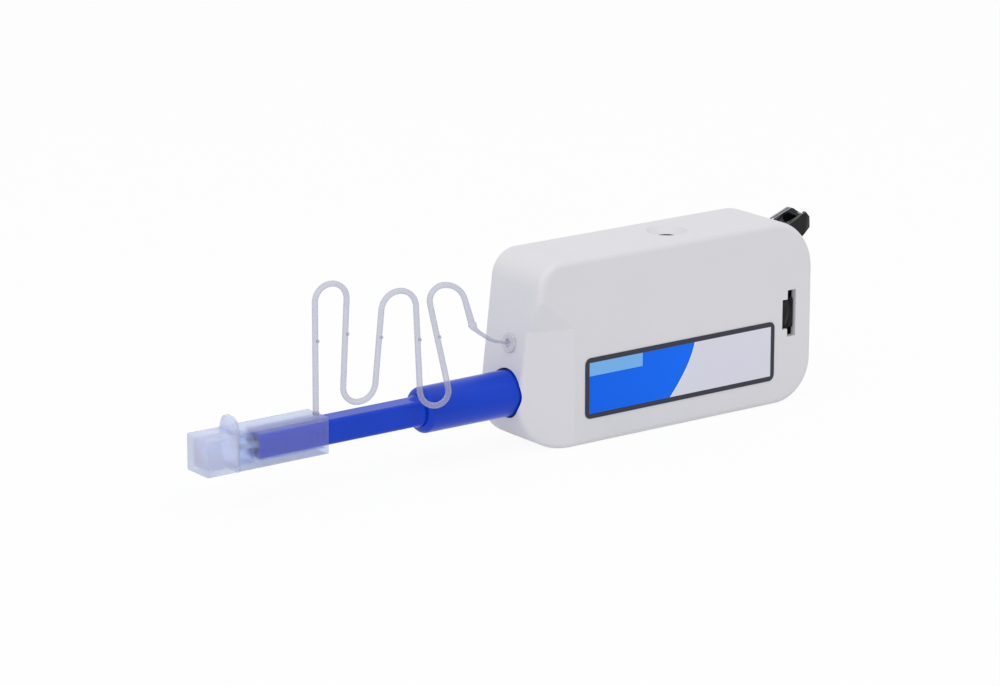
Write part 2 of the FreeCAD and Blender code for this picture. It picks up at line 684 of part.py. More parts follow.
def make_tape():
    """The run of cleaning tape: out along one side of the shaft, round the tip and back along the other."""
    body = new_body("cleaning_tape")
    half = "tapeThickness / 2"
    end = "nozzleFront - tipReach - 0.35"
    spread = "tapeSpread"
    close = "tipRadius + tapeThickness / 2 + 0.1"
    bend = "nozzleFront - 1"
    outer = [("tapeRise", f"{spread} + {half}"), ("nozzleFront + 3", f"{spread} + {half}"),
             (bend, f"{close} + {half}"), (end, f"{close} + {half}")]
    inner = [(f"{end} + tapeThickness", f"{close} - {half}"), (bend, f"{close} - {half}"),
             ("nozzleFront + 3", f"{spread} - {half}"), ("tapeRise", f"{spread} - {half}")]
    mirror = [(a, f"-({b})") for a, b in reversed(outer + inner[:0])]
    mirror_inner = [(a, f"-({b})") for a, b in reversed(inner)]
    loop = outer + mirror + mirror_inner + inner
    block(body, "Pad", "NozzleRun", "plan", loop, "axisHeight", "tapeWidth", False, True)

    turn_top = "postHeight + postRadius + 0.1"
    feed = [
        ("tapeRise - 0.125", "axisHeight - 0.2"), ("tapeRise - 0.125", "postHeight"),
        ("tapeRise + 0.45", f"{turn_top} - 0.35"), ("postStation", turn_top),
        ("supplyStation", "reelHeight - fullRoll - 0.3"), ("supplyStation", "reelHeight - fullRoll - 0.05"),
        ("postStation", f"{turn_top} + 0.25"), ("tapeRise + 0.25", f"{turn_top} - 0.05"),
        ("tapeRise - 0.375", "postHeight"), ("tapeRise - 0.375", "axisHeight - 0.2"),
    ]
    block(body, "Pad", "FeedRun", "side", feed, f"-{spread}", "tapeWidth", False, True)
    wound = [
        ("tapeRise - 0.375", "axisHeight - 0.2"), ("tapeRise + 0.05", "axisHeight - 0.2"),
        ("takeUpStation + startRoll * 0.79", "reelHeight - startRoll * 0.74"),
        ("takeUpStation + startRoll * 0.72", "reelHeight - startRoll * 0.70 + 0.05"),
    ]
    block(body, "Pad", "ReturnRun", "side", wound, spread, "tapeWidth", False, True)
    return body


def make_cap():
    body = new_body("guide_cap", height="axisHeight")
    half = "capWidth / 2"
    section = rect(f"-{half}", f"-{half}", half, half)
    sleeve = block(body, "Pad", "Sleeve", "cross", section, "capFront", "capRear - capFront")
    soften(body, "LongEdges", sleeve, lambda edge: runs_along(edge, "x"), "0.4")
    bore = "nozzleWidth / 2 + fitGap"
    opening = rect(f"-({bore})", f"-({bore})", bore, bore)
    stop = "nozzleFront - 2 * fitGap"
    block(body, "Pocket", "NozzleBore", "cross", opening, "capRear", f"capRear - ({stop})")
    block(body, "Pocket", "PlugSocket", "cross", opening, "capFront", f"{stop} - capStop - capFront", True)
    disc(body, "Pocket", "TipHole", "cross", [("0", "0", "tipRadius + tapeThickness + 0.5")],
         "capFront - 1", "capRear - capFront", True)
    grip = rect("capRear - 2.7", "-1.1", "capRear - 1.8", "1.1")
    block(body, "Pocket", "GripMark", "side", grip, f"{half} + 0.1", "0.35")
    bead = [("capFront - fitGap / 2", f"hingeRise - {half}", "hingeRadius")]
    disc(body, "Pad", "HingeBead", "side", bead, "0", "capWidth - 1", False, True)
    return body


def make_lid():
    body = new_body("cap_lid", height="axisHeight")
    half = "capWidth / 2"
    rear = "capFront - fitGap"
    section = rect(f"-{half}", f"-{half}", half, half)
    shell = block(body, "Pad", "Box", "cross", section, f"{rear} - lidLength", "lidLength")
    shell = soften(body, "LongEdges", shell, lambda edge: runs_along(edge, "x"), "0.4")
    front = value(body, f"{rear} - lidLength")
    soften(body, "FrontRim", shell, lambda edge: abs(edge.BoundBox.XMax - front) < 0.01, "0.25", "Chamfer")
    inner = f"{half} - lidWall"
    opening = rect(f"-({inner})", f"-({inner})", inner, inner)
    block(body, "Pocket", "Hollow", "cross", opening, rear, "lidLength - lidWall")
    tab = [
        (f"{rear} - 1.9", f"{half} - 0.2"), (f"{rear} - 0.1", f"{half} - 0.2"), (f"{rear} + 0.8", f"{half} + 2.1"),
        (f"{rear} + 0.7", f"{half} + 2.7"), (f"{rear} - 0.1", f"{half} + 2.6"),
    ]
    block(body, "Pad", "ThumbTab", "side", tab, "0", "2.8", False, True)
    groove = [("capFront - fitGap / 2", f"hingeRise - {half}", "hingeRadius + runningGap")]
    disc(body, "Pocket", "HingeGroove", "side", groove, "0", "capWidth + 1", False, True)
    return body


def make_label():
    body = new_body("label")
    outline = rect("labelFront", "labelLow", "labelRear", "labelHigh")
    film = block(body, "Pad", "Film", "side", outline, "housingThickness / 2", "labelThickness")
    soften(body, "Corners", film, lambda edge: runs_along(edge, "y"), "1.2")
    return body

def add_route(sketch, points):
    """Draw an open run of straights with tangent arcs and return the arcs' radii."""
    corners = [FreeCAD.Vector(value(sketch, a), value(sketch, b), 0) for a, b in points]
    last = corners[0]
    radii = []
    for before, corner, after in zip(corners, corners[1:], corners[2:]):
        back = before - corner
        ahead = after - corner
        half = back.getAngle(ahead) / 2
        reach = 0.45 * min(back.Length, ahead.Length)
        radius = reach * math.tan(half)
        back.normalize()
        ahead.normalize()
        start = corner + back * reach
        end = corner + ahead * reach
        middle = corner + (back + ahead).normalize() * (radius / math.sin(half) - radius)
        sketch.addGeometry(Part.LineSegment(last, start))
        sketch.addGeometry(Part.Arc(start, middle, end))
        radii.append(round(radius, 2))
        last = end
    sketch.addGeometry(Part.LineSegment(last, corners[-1]))
    for number in range(sketch.GeometryCount):
        sketch.addConstraint(Sketcher.Constraint("Block", number))
    return radii


def lean_sketch(body, name, plane, foot, yaw):
    """A sketch on a plane that is turned about the vertical through a foot point."""
    sketch = new_sketch(body, name, plane)
    x, y, z = foot
    if plane == "side":
        offset, axis = FreeCAD.Vector(x, z, -y), FreeCAD.Vector(0, 1, 0)
    else:
        offset, axis = FreeCAD.Vector(x, y, z), FreeCAD.Vector(0, 0, 1)
    sketch.setExpression("AttachmentOffset.Base.z", None)
    sketch.AttachmentOffset = FreeCAD.Placement(offset, FreeCAD.Rotation(axis, yaw))
    return sketch


def make_tether():
    """Soft strap moulded in loops, from the cap's top to a button in the housing's front."""
    body = new_body("tether")
    foot = (-48.2, -0.77, value(body, "axisHeight + capWidth / 2"))
    strap = lean_sketch(body, "StrapRoute", "side", foot, STRAP_YAW)
    print("tether arcs", add_route(strap, STRAP_ROUTE))
    half = "strapWidth / 2"
    section = lean_sketch(body, "StrapSection", "plan", foot, STRAP_YAW)
    add_outline(section, rect(f"-{half}", f"-{half}", half, half))
    pipe = body.newObject("PartDesign::AdditivePipe", "Strap")
    pipe.Profile = section
    pipe.Spine = (strap, [])
    pipe.Transition = "Right corner"
    doc.recompute()

    # Thin neck from the strap's end down to the button, in a plane of its own.
    along, rise = STRAP_ROUTE[-1]
    turned = FreeCAD.Rotation(FreeCAD.Vector(0, 0, 1), STRAP_YAW)
    end = FreeCAD.Vector(*foot) + turned.multVec(FreeCAD.Vector(along, 0, rise))
    slope = value(body, "(frontTop - frontFoot) / housingHeight")
    button = FreeCAD.Vector(value(body, "frontFoot") + slope * value(body, "buttonHeight"), 0,
                            value(body, "buttonHeight"))
    run = math.hypot(button.x - end.x, button.y - end.y)
    fall = button.z - end.z
    yaw = math.degrees(math.atan2(button.y - end.y, button.x - end.x))
    neck = lean_sketch(body, "NeckOutline", "side", tuple(end), yaw)
    thick = value(body, "strapWidth") / 4
    bend = (run * 0.45, fall * 0.82)
    add_outline(neck, [
        ("0", f"{thick}"), ("0", f"-{thick}"), (f"{bend[0] - thick}", f"{bend[1] - thick}", "5"),
        (f"{run}", f"{fall - thick}"), (f"{run}", f"{fall + thick}"), (f"{bend[0] + thick}", f"{bend[1] + thick}", "5"),
    ])
    feature(body, "Pad", "Neck", neck, "strapWidth", middle=True)
    knuckle = body.newObject("PartDesign::AdditiveSphere", "Knuckle")
    bind(knuckle, "Radius", "strapWidth * 0.9")
    knuckle.Placement.Base = end
    doc.recompute()

    # Button: a head flat on the slanted front and a stem in the housing's hole.
    lean = math.degrees(math.atan(slope))
    head = body.newObject("PartDesign::AdditiveCylinder", "ButtonHead")
    bind(head, "Radius", "buttonRadius")
    bind(head, "Height", "buttonHead")
    head.Placement = FreeCAD.Placement(button, FreeCAD.Rotation(FreeCAD.Vector(0, 1, 0), -90 + lean))
    doc.recompute()
    stem = body.newObject("PartDesign::AdditiveCylinder", "ButtonStem")
    bind(stem, "Radius", "buttonStem")
    stem.Height = 2.6
    stem.Placement = FreeCAD.Placement(button + FreeCAD.Vector(-0.2, 0, 0),
                                       FreeCAD.Rotation(FreeCAD.Vector(0, 1, 0), 90))
    doc.recompute()
    return body


def make_all():
    make_housing_shell()
    make_side_cover()
    make_chassis()
    make_slider()
    make_barrel()
    make_nozzle()
    make_spring("return_spring", "carriageRear", "bulkheadStation", "springRadius", "springWire", 6,
                "springHeight")
    make_spring("nozzle_spring", "barrelFront + barrelMouth + 1.5", "springSeat", "barrelTailBore + 0.25",
                "springWire - 0.05", 5, "axisHeight")
    make_spring("tip_spring", "nozzleFront + 2.1", "nozzleFront + 4.5", "tipRadius", "springWire - 0.2", 3,
                "axisHeight")
    make_shaft()
    make_tip()
    make_reel("supply_reel", "supplyStation")
    make_reel("take_up_reel", "takeUpStation")
    make_roll("supply_tape", "supplyStation", "fullRoll")
    make_roll("take_up_tape", "takeUpStation", "startRoll")
    make_gear()
    make_tape()
    make_cap()
    make_lid()
    make_tether()
    make_label()


make_all()
doc.recompute()
for item in doc.Objects:
    if "Invalid" in item.State or "Error" in item.State:
        raise RuntimeError(f"{item.Label} did not build")
os.makedirs("parts", exist_ok=True)
for piece in pieces:
    shape = piece.Shape
    if shape.isNull() or not shape.isValid() or not shape.Solids:
        raise RuntimeError(f"{piece.Label} is not a valid solid")
    shape.exportStep(f"parts/{piece.Label}.step")
    print(piece.Label, len(shape.Solids), round(shape.Volume, 1))
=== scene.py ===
import math
import bpy
from mathutils import Euler, Matrix, Vector


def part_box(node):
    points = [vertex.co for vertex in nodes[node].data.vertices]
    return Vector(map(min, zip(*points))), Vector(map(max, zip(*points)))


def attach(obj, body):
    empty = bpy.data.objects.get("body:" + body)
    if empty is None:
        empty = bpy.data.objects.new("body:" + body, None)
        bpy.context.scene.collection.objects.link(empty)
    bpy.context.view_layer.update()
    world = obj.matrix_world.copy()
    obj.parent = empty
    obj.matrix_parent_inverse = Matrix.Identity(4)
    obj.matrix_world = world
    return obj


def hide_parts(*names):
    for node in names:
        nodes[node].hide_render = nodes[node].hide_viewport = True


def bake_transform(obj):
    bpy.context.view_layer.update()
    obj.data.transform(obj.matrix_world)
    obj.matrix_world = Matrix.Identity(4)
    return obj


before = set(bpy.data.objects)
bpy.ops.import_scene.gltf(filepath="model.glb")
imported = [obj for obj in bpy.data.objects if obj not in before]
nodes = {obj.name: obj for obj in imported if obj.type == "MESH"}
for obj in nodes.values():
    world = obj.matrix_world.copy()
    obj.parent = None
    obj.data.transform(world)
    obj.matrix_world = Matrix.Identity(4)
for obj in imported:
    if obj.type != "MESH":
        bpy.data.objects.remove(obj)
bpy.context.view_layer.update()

mm = 0.001
bpy.ops.object.select_all(action="DESELECT")


def linearColour(code):
    # sRGB hex to the linear colour a socket wants
    channels = [int(code[i:i + 2], 16) / 255 for i in (1, 3, 5)]
    return tuple(c / 12.92 if c < 0.04045 else ((c + 0.055) / 1.055) ** 2.4
                 for c in channels) + (1.0,)


def addNode(tree, kind, inputs=None, **settings):
    # one node with its settings; an input is a value or another node's output
    node = tree.nodes.new(kind)
    for name, value in settings.items():
        setattr(node, name, value)
    for name, value in (inputs or {}).items():
        if isinstance(value, bpy.types.NodeSocket):
            tree.links.new(value, node.inputs[name])
        else:
            node.inputs[name].default_value = value
    return node


def newMaterial(name, finish):
    # a fresh tree: an output, and a shader whose own sockets take the values of the finish
    material = bpy.data.materials.new(name)
    material.use_nodes = True
    tree = material.node_tree
    tree.nodes.clear()
    shader = addNode(tree, "ShaderNodeBsdfPrincipled", finish)
    addNode(tree, "ShaderNodeOutputMaterial", {"Surface": shader.outputs["BSDF"]})
    return material, tree, shader


def paint(material, *names):
    for name in names:
        slots = nodes[name].material_slots
        if not slots:
            nodes[name].data.materials.append(material)
        for item in slots:
            item.material = material


# Skin of every moulding: fine bumps left by the tool, and a slow drift between two close tones
mouldedSkin = {"fineDetail": 3.0, "fineRoughness": 0.6, "bumpStrength": 0.6, "driftDetail": 2.0}


def addSkin(tree, shader, values):
    skin = mouldedSkin
    place = addNode(tree, "ShaderNodeTexCoord")
    fine = addNode(tree, "ShaderNodeTexNoise", {
        "Vector": place.outputs["Object"], "Scale": 1 / values["grain"],
        "Detail": skin["fineDetail"], "Roughness": skin["fineRoughness"]})
    bump = addNode(tree, "ShaderNodeBump", {
        "Height": fine.outputs["Fac"], "Distance": values["depth"],
        "Strength": skin["bumpStrength"]})
    slow = addNode(tree, "ShaderNodeTexNoise", {
        "Vector": place.outputs["Object"], "Scale": 1 / values["spread"],
        "Detail": skin["driftDetail"]})
    tone = addNode(tree, "ShaderNodeMix", {
        "Factor": slow.outputs["Fac"], "A": linearColour(values["colour"]),
        "B": linearColour(values["shade"])}, data_type="RGBA")
    tree.links.new(bump.outputs["Normal"], shader.inputs["Normal"])
    tree.links.new(tone.outputs["Result"], shader.inputs["Base Color"])


# Moulded ABS from a spark-eroded tool: an even satin skin with a very fine grain
mouldedAbs = {"colour": "#DFDEE1", "shade": "#DBDADE", "roughness": 0.44, "ior": 1.54, "gloss": 0.5,
              "grain": 0.35 * mm, "depth": 0.012 * mm, "spread": 14 * mm}

# Acetal moulded in a polished tool: deep even colour with a soft waxy gloss
blueAcetal = {"colour": "#003FCA", "shade": "#003ABE", "roughness": 0.3, "ior": 1.48, "gloss": 0.26,
              "grain": 1.2 * mm, "depth": 0.006 * mm, "spread": 9 * mm}

# Black ABS from a polished tool: dark with sharp small reflections
glossBlackAbs = {"colour": "#0E0F11", "shade": "#151619", "roughness": 0.16, "ior": 1.54,
                 "gloss": 0.2, "grain": 0.8 * mm, "depth": 0.004 * mm, "spread": 6 * mm}

# The same ABS on the lug's thin rims, coloured pale grey: a painted highlight for the light their
# gloss mirrors
paintedHighlightAbs = {**glossBlackAbs, "colour": "#9C9DA6", "shade": "#8A8B94", "roughness": 0.1,
                    "gloss": 0.9}

# Natural acetal of the gear, the carriage and the tip: dull, off-white and slightly waxy
whiteAcetal = {"colour": "#E4E2DA", "shade": "#DCDAD1", "roughness": 0.42, "ior": 1.48,
               "gloss": 0.5, "grain": 0.6 * mm, "depth": 0.006 * mm, "spread": 7 * mm}

# Acetal of the reels with carbon black in it: as waxy, and nearly black
darkAcetal = {**whiteAcetal, "colour": "#3A3C40", "shade": "#2F3134"}


def makeMoulded(name, values):
    material, tree, shader = newMaterial(name, {
        "Roughness": values["roughness"], "IOR": values["ior"],
        "Specular IOR Level": values["gloss"]})
    addSkin(tree, shader, values)
    return material


# Natural polypropylene: a thin wall lets most light through with a little milk in it, and the milk
# thickens towards grazing edges, so what lies inside shows softened and the rims read as pale lines
naturalPolypropylene = {"colour": "#D6D7E2", "shade": "#CFD0DC", "tint": "#ECF2FF", "ior": 1.49,
                        "roughness": 0.24, "milk": 0.05, "edgeMilk": 0.7, "edgeBlend": 0.24,
                        "blur": 0.3, "blurRoughness": 0.3, "blurIor": 1.1, "subsurface": 0.35,
                        "subsurfaceReach": 0.8 * mm, "grain": 0.5 * mm, "depth": 0.01 * mm,
                        "spread": 5 * mm}

# The same plastic in the strap's slim bead: smooth and clear, with pale lines along its sides
clearPolypropylene = {**naturalPolypropylene, "colour": "#CFD0DB", "shade": "#C8C9D5",
                      "tint": "#EFF0F6", "milk": 0.3, "edgeMilk": 0.85, "blur": 0.0, "depth": 0.0,
                      "subsurface": 0.0}

# The same plastic in the lid's thicker walls: whiter, and it hides more of what is behind
milkyPolypropylene = {**naturalPolypropylene, "colour": "#EDEDF7", "shade": "#E6E6F1",
                      "milk": 0.34, "edgeMilk": 0.6}

# The same plastic in the button, which lies on the pale housing: almost closed, a soft white disc
buttonPolypropylene = {**naturalPolypropylene, "colour": "#E4E4E8", "shade": "#DEDEE3",
                       "milk": 0.72, "edgeMilk": 0.9, "blur": 0.0, "subsurface": 0.0}


def makePolypropylene(name, values):
    material, tree, shader = newMaterial(name, {
        "Roughness": values["roughness"], "IOR": values["ior"],
        "Subsurface Weight": values["subsurface"], "Subsurface Scale": values["subsurfaceReach"]})
    addSkin(tree, shader, values)
    tint = linearColour(values["tint"])
    clear = addNode(tree, "ShaderNodeBsdfTransparent", {"Color": tint})
    soft = addNode(tree, "ShaderNodeBsdfRefraction", {
        "Color": tint, "Roughness": values["blurRoughness"], "IOR": values["blurIor"]})
    through = addNode(tree, "ShaderNodeMixShader", {
        0: values["blur"], 1: clear.outputs[0], 2: soft.outputs[0]})
    facing = addNode(tree, "ShaderNodeLayerWeight", {"Blend": values["edgeBlend"]})
    share = addNode(tree, "ShaderNodeMapRange", {
        "Value": facing.outputs["Facing"], "To Min": values["milk"], "To Max": values["edgeMilk"]})
    mixed = addNode(tree, "ShaderNodeMixShader", {
        0: share.outputs[0], 1: through.outputs[0], 2: shader.outputs[0]})
    tree.links.new(mixed.outputs[0], tree.nodes["Material Output"].inputs["Surface"])
    return material


# Drawn spring steel and ground rod: bright, with fine lines along the drawing direction
drawnSteel = {"colour": "#C9CBCE", "shade": "#AEB1B5", "roughness": 0.28, "line": 0.12 * mm,
              "stretch": (0.04, 1, 1), "detail": 2.0}


def makeDrawnSteel():
    values = drawnSteel
    material, tree, shader = newMaterial("drawnSteel", {
        "Metallic": 1.0, "Roughness": values["roughness"]})
    place = addNode(tree, "ShaderNodeTexCoord")
    stretched = addNode(tree, "ShaderNodeMapping", {
        "Vector": place.outputs["Object"], "Scale": values["stretch"]})
    lines = addNode(tree, "ShaderNodeTexNoise", {
        "Vector": stretched.outputs["Vector"], "Scale": 1 / values["line"],
        "Detail": values["detail"]})
    tone = addNode(tree, "ShaderNodeMix", {
        "Factor": lines.outputs["Fac"], "A": linearColour(values["colour"]),
        "B": linearColour(values["shade"])}, data_type="RGBA")
    tree.links.new(tone.outputs["Result"], shader.inputs["Base Color"])
    return material


# Woven polyester microfibre tape: matt white with a weave too fine to show, drawn at 0.25 mm
wovenMicrofibre = {"colour": "#F4F4F1", "shade": "#D9DAD8", "thread": 0.25 * mm,
                   "depth": 0.02 * mm, "roughness": 0.85, "sheen": 0.2}


def makeWovenMicrofibre():
    values = wovenMicrofibre
    material, tree, shader = newMaterial("wovenMicrofibre", {
        "Roughness": values["roughness"], "Sheen Weight": values["sheen"]})
    place = addNode(tree, "ShaderNodeTexCoord")
    weave = addNode(tree, "ShaderNodeTexChecker", {
        "Vector": place.outputs["Object"], "Scale": 1 / values["thread"],
        "Color1": linearColour(values["colour"]), "Color2": linearColour(values["shade"])})
    bump = addNode(tree, "ShaderNodeBump", {
        "Height": weave.outputs["Fac"], "Distance": values["depth"]})
    tree.links.new(weave.outputs["Color"], shader.inputs["Base Color"])
    tree.links.new(bump.outputs["Normal"], shader.inputs["Normal"])
    return material


# Screen-printed polyester film: flat fields of colour under a smooth satin face. The blue field
# ends in a curve that sweeps back towards the bottom, with a pale line along it
printedFilm = {"border": "#3C3D46", "blue": "#006EFA", "deepBlue": "#0066F0", "edge": "#E6ECFA",
               "lightBlue": "#7AB7F0", "pale": "#DEDEE9", "gloss": 0.15, "roughness": 0.36,
               "borderWidth": 0.9 * mm, "edgeWidth": 0.28 * mm, "curveStart": 25.1 * mm,
               "curveReach": 6.588 * mm, "curvePower": 1.6, "boxEnd": 12.9 * mm,
               "boxLow": 3.35 * mm}


def makePrintedFilm():
    values = printedFilm
    low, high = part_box("label")
    width, height, border = high[0] - low[0], high[2] - low[2], values["borderWidth"]
    material, tree, shader = newMaterial("printedFilm", {
        "Roughness": values["roughness"], "Specular IOR Level": values["gloss"]})
    place = addNode(tree, "ShaderNodeTexCoord")
    parts = addNode(tree, "ShaderNodeSeparateXYZ", {"Vector": place.outputs["Object"]})
    along = addNode(tree, "ShaderNodeMath", {
        0: parts.outputs["X"], 1: low[0]}, operation="SUBTRACT").outputs[0]
    down = addNode(tree, "ShaderNodeMath", {
        0: high[2], 1: parts.outputs["Z"]}, operation="SUBTRACT").outputs[0]

    # how far along the blue reaches at each height, and how far a point is past that
    fraction = addNode(tree, "ShaderNodeMath", {0: down, 1: height}, operation="DIVIDE")
    bowed = addNode(tree, "ShaderNodeMath", {
        0: fraction.outputs[0], 1: values["curvePower"]}, operation="POWER")
    curve = addNode(tree, "ShaderNodeMath", {
        0: bowed.outputs[0], 1: -values["curveReach"], 2: values["curveStart"]},
        operation="MULTIPLY_ADD")
    past = addNode(tree, "ShaderNodeMath", {
        0: along, 1: curve.outputs[0]}, operation="SUBTRACT").outputs[0]
    inBlue = addNode(tree, "ShaderNodeMath", {0: past, 1: 0.0}, operation="LESS_THAN")
    onEdge = addNode(tree, "ShaderNodeMath", {
        0: past, 1: 0.0, 2: values["edgeWidth"] / 2}, operation="COMPARE")
    drift = addNode(tree, "ShaderNodeMath", {
        0: along, 1: values["curveStart"]}, operation="DIVIDE")

    # two rectangles from the border's inner corner: the light blue box, and all that is printed
    masks = {"edge": onEdge}
    for name, right, bottom in (("lightBlue", values["boxEnd"], values["boxLow"]),
                                ("border", width - border, height - border)):
        across = addNode(tree, "ShaderNodeMath", {
            0: along, 1: (border + right) / 2, 2: (right - border) / 2}, operation="COMPARE")
        upright = addNode(tree, "ShaderNodeMath", {
            0: down, 1: (border + bottom) / 2, 2: (bottom - border) / 2}, operation="COMPARE")
        masks[name] = addNode(tree, "ShaderNodeMath", {
            0: across.outputs[0], 1: upright.outputs[0]}, operation="MULTIPLY")

    field = addNode(tree, "ShaderNodeMix", {
        "Factor": drift.outputs[0], "A": linearColour(values["deepBlue"]),
        "B": linearColour(values["blue"])}, data_type="RGBA")
    fields = addNode(tree, "ShaderNodeMix", {
        "Factor": inBlue.outputs[0], "A": linearColour(values["pale"]),
        "B": field.outputs["Result"]}, data_type="RGBA")
    for name in ("edge", "lightBlue"):
        fields = addNode(tree, "ShaderNodeMix", {
            "Factor": masks[name].outputs[0], "A": fields.outputs["Result"],
            "B": linearColour(values[name])}, data_type="RGBA")
    framed = addNode(tree, "ShaderNodeMix", {
        "Factor": masks["border"].outputs[0], "A": linearColour(values["border"]),
        "B": fields.outputs["Result"]}, data_type="RGBA")
    tree.links.new(framed.outputs["Result"], shader.inputs["Base Color"])
    return material


print("materials")
blackPlastic = makeMoulded("glossBlackAbs", glossBlackAbs)
# the lug rims' pale grey is a painted highlight, not the plastic's own colour
rimPaintedHighlight = makeMoulded("paintedHighlightAbs", paintedHighlightAbs)
strapPlastic = makePolypropylene("clearPolypropylene", clearPolypropylene)
lidPlastic = makePolypropylene("milkyPolypropylene", milkyPolypropylene)
buttonPlastic = makePolypropylene("buttonPolypropylene", buttonPolypropylene)
steel = makeDrawnSteel()
paint(makeMoulded("mouldedAbs", mouldedAbs), "housing_shell", "side_cover")
paint(makeMoulded("blueAcetal", blueAcetal), "barrel", "nozzle")
paint(makePolypropylene("naturalPolypropylene", naturalPolypropylene), "guide_cap")
paint(makePrintedFilm(), "label")
paint(steel, "tip_spring", "probe_shaft")
paint(makeWovenMicrofibre(), "cleaning_tape", "supply_tape", "take_up_tape")
paint(makeMoulded("whiteAcetal", whiteAcetal), "drive_gear", "slider", "probe_tip")
paint(makeMoulded("darkAcetal", darkAcetal), "supply_reel", "take_up_reel")


def pick(obj):
    bpy.ops.object.select_all(action="DESELECT")
    obj.select_set(True)
    bpy.context.view_layer.objects.active = obj


# Finishing of the modelled pieces: points that lie on each other become one, within a reach far
# below any real gap, and sharp edges get a small round
finishing = {"seamReach": 0.0002 * mm, "edgeSegments": 3, "sharpAngle": 30}


def closeSeams(obj):
    pick(obj)
    bpy.ops.object.mode_set(mode="EDIT")
    bpy.ops.mesh.select_all(action="SELECT")
    bpy.ops.mesh.remove_doubles(threshold=finishing["seamReach"])
    bpy.ops.object.mode_set(mode="OBJECT")


def copyNode(name, title):
    # a free copy of a carried-over piece to work on, which then stands for it
    node = nodes[name]
    piece = bpy.data.objects.new(title, node.data.copy())
    piece.data.transform(node.matrix_world)
    bpy.context.scene.collection.objects.link(piece)
    return piece


def settle(obj):
    # its place and turn go into the mesh
    pick(obj)
    bpy.ops.object.transform_apply(location=True, rotation=True, scale=True)


def combine(obj, other, operation):
    settle(other)
    pick(obj)
    cut = obj.modifiers.new("shape", "BOOLEAN")
    cut.operation = operation
    cut.object = other
    bpy.ops.object.modifier_apply(modifier=cut.name)
    bpy.data.objects.remove(other)


def roundEdges(obj, width):
    pick(obj)
    edge = obj.modifiers.new("edge", "BEVEL")
    edge.width = width
    edge.segments = finishing["edgeSegments"]
    edge.limit_method = "ANGLE"
    edge.angle_limit = math.radians(finishing["sharpAngle"])
    bpy.ops.object.modifier_apply(modifier=edge.name)


def coat(obj, material):
    obj.data.materials.clear()
    obj.data.materials.append(material)


def joinAll(obj, others):
    pick(obj)
    for other in others:
        other.select_set(True)
    bpy.ops.object.join()


def finishPiece(obj, body, angle, stoodFor):
    pick(obj)
    bpy.ops.object.shade_smooth_by_angle(angle=math.radians(angle))
    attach(obj, body)
    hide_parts(stoodFor)
    obj.select_set(False)


def stretchPiece(obj, angle, stoodFor):
    # smooth shading, its place baked into its mesh, and the part it stands for hidden
    pick(obj)
    bpy.ops.object.shade_smooth_by_angle(angle=math.radians(angle))
    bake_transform(obj)
    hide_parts(stoodFor)
    obj.select_set(False)


# Springs: each closes up between the piece that pushes it and its seat on the next body
coiledSprings = {"smoothing": 40,
                 "return_spring": ("returnSpring",
                                   ("carriage", "housing", (-14.17, 0, 4.9), (9.57, 0, 4.9))),
                 "nozzle_spring": ("nozzleSpring",
                                   ("nozzle", "carriage", (-48.08, 0, 10.2), (-33.42, 0, 10.2)))}


def makeSprings():
    values = coiledSprings
    for name in ("return_spring", "nozzle_spring"):
        title, ends = values[name]
        coil = copyNode(name, title)
        closeSeams(coil)
        coat(coil, steel)
        stretchPiece(coil, values["smoothing"], name)
        print("spring", len(coil.data.polygons))


# Strap: one slim bead in three loops on the cap, a nub at the middle of each limb, a knob where
# the loops end, and a thin neck to the button. The route is along and up from the foot; the neck
# and the knob have each point's place, or its step from the route's end, and its swelling
mouldedStrap = {"foot": (-73.6, -0.77, 13.5), "yaw": -10.8, "thickness": 0.53, "roundness": 3,
                "route": [(0, 0), (0.1, 22.8), (6.1, 22.8), (5.0, 1.3), (10.9, 1.3), (12.7, 20.1),
                          (18.8, 20.1), (19.7, -1.2), (25.6, -1.2), (20.9, 20.2), (27.3, 20.2),
                          (29.6, 12.5)],
                "cornerSteps": 10, "cornerShare": 0.497,
                "knob": [(-0.15, 0, 0.35, 1.15), (0, 0, 0, 1.5), (0.35, 0.1, -0.5, 1.25)],
                "neck": [(-43.6, -6.0, 24.9, 0.8), (-42.2, -5.5, 23.9, 0.7),
                         (-39.6, -4.3, 22.3, 0.7), (-37.0, -2.6, 21.0, 0.6),
                         (-33.6, -0.6, 19.8, 0.5), (-32.1, 0.0, 19.4, 0.5)],
                "nubs": (0, 2, 4, 6, 8), "nubSize": 0.5, "nubRise": 1.5, "nubEdge": 0.1,
                "nubReach": 0.95, "footRadius": 0.62, "footHeight": 0.5, "footEdge": 0.15,
                "footSides": 24, "smoothing": 40}

# Button: a disc flat on the slanted front, with the dimple of the mould's gate, and its stem
strapButton = {"place": (-31.76, 0.0, 19.3), "lean": 6.76, "radius": 1.8, "depth": 0.45,
               "edge": 0.14, "sides": 64, "dimpleRadius": 0.75, "dimpleDepth": 0.3,
               "stemRadius": 1.15, "stemLength": 2.4, "smallSides": 32}


def strapPoint(along, up):
    turn = math.radians(mouldedStrap["yaw"])
    x, y, z = mouldedStrap["foot"]
    return Vector((x + along * math.cos(turn), y + along * math.sin(turn), z + up)) * mm


def roundedRoute(points, steps, share):
    # arcs at the corners, each as large as its shorter limb allows
    path = [Vector(points[0])]
    for before, corner, after in zip(points, points[1:], points[2:]):
        corner = Vector(corner)
        into, away = Vector(before) - corner, Vector(after) - corner
        half = into.angle(away) / 2
        reach = min(into.length, away.length) * share
        into, away = into.normalized(), away.normalized()
        centre = corner + (into + away).normalized() * (reach * math.tan(half) / math.sin(half))
        start = corner + into * reach - centre
        sweep = start.angle_signed(corner + away * reach - centre)
        for step in range(steps + 1):
            turned = start.copy()
            turned.rotate(Matrix.Rotation(-sweep * step / steps, 2))
            path.append(centre + turned)
    path.append(Vector(points[-1]))
    return path


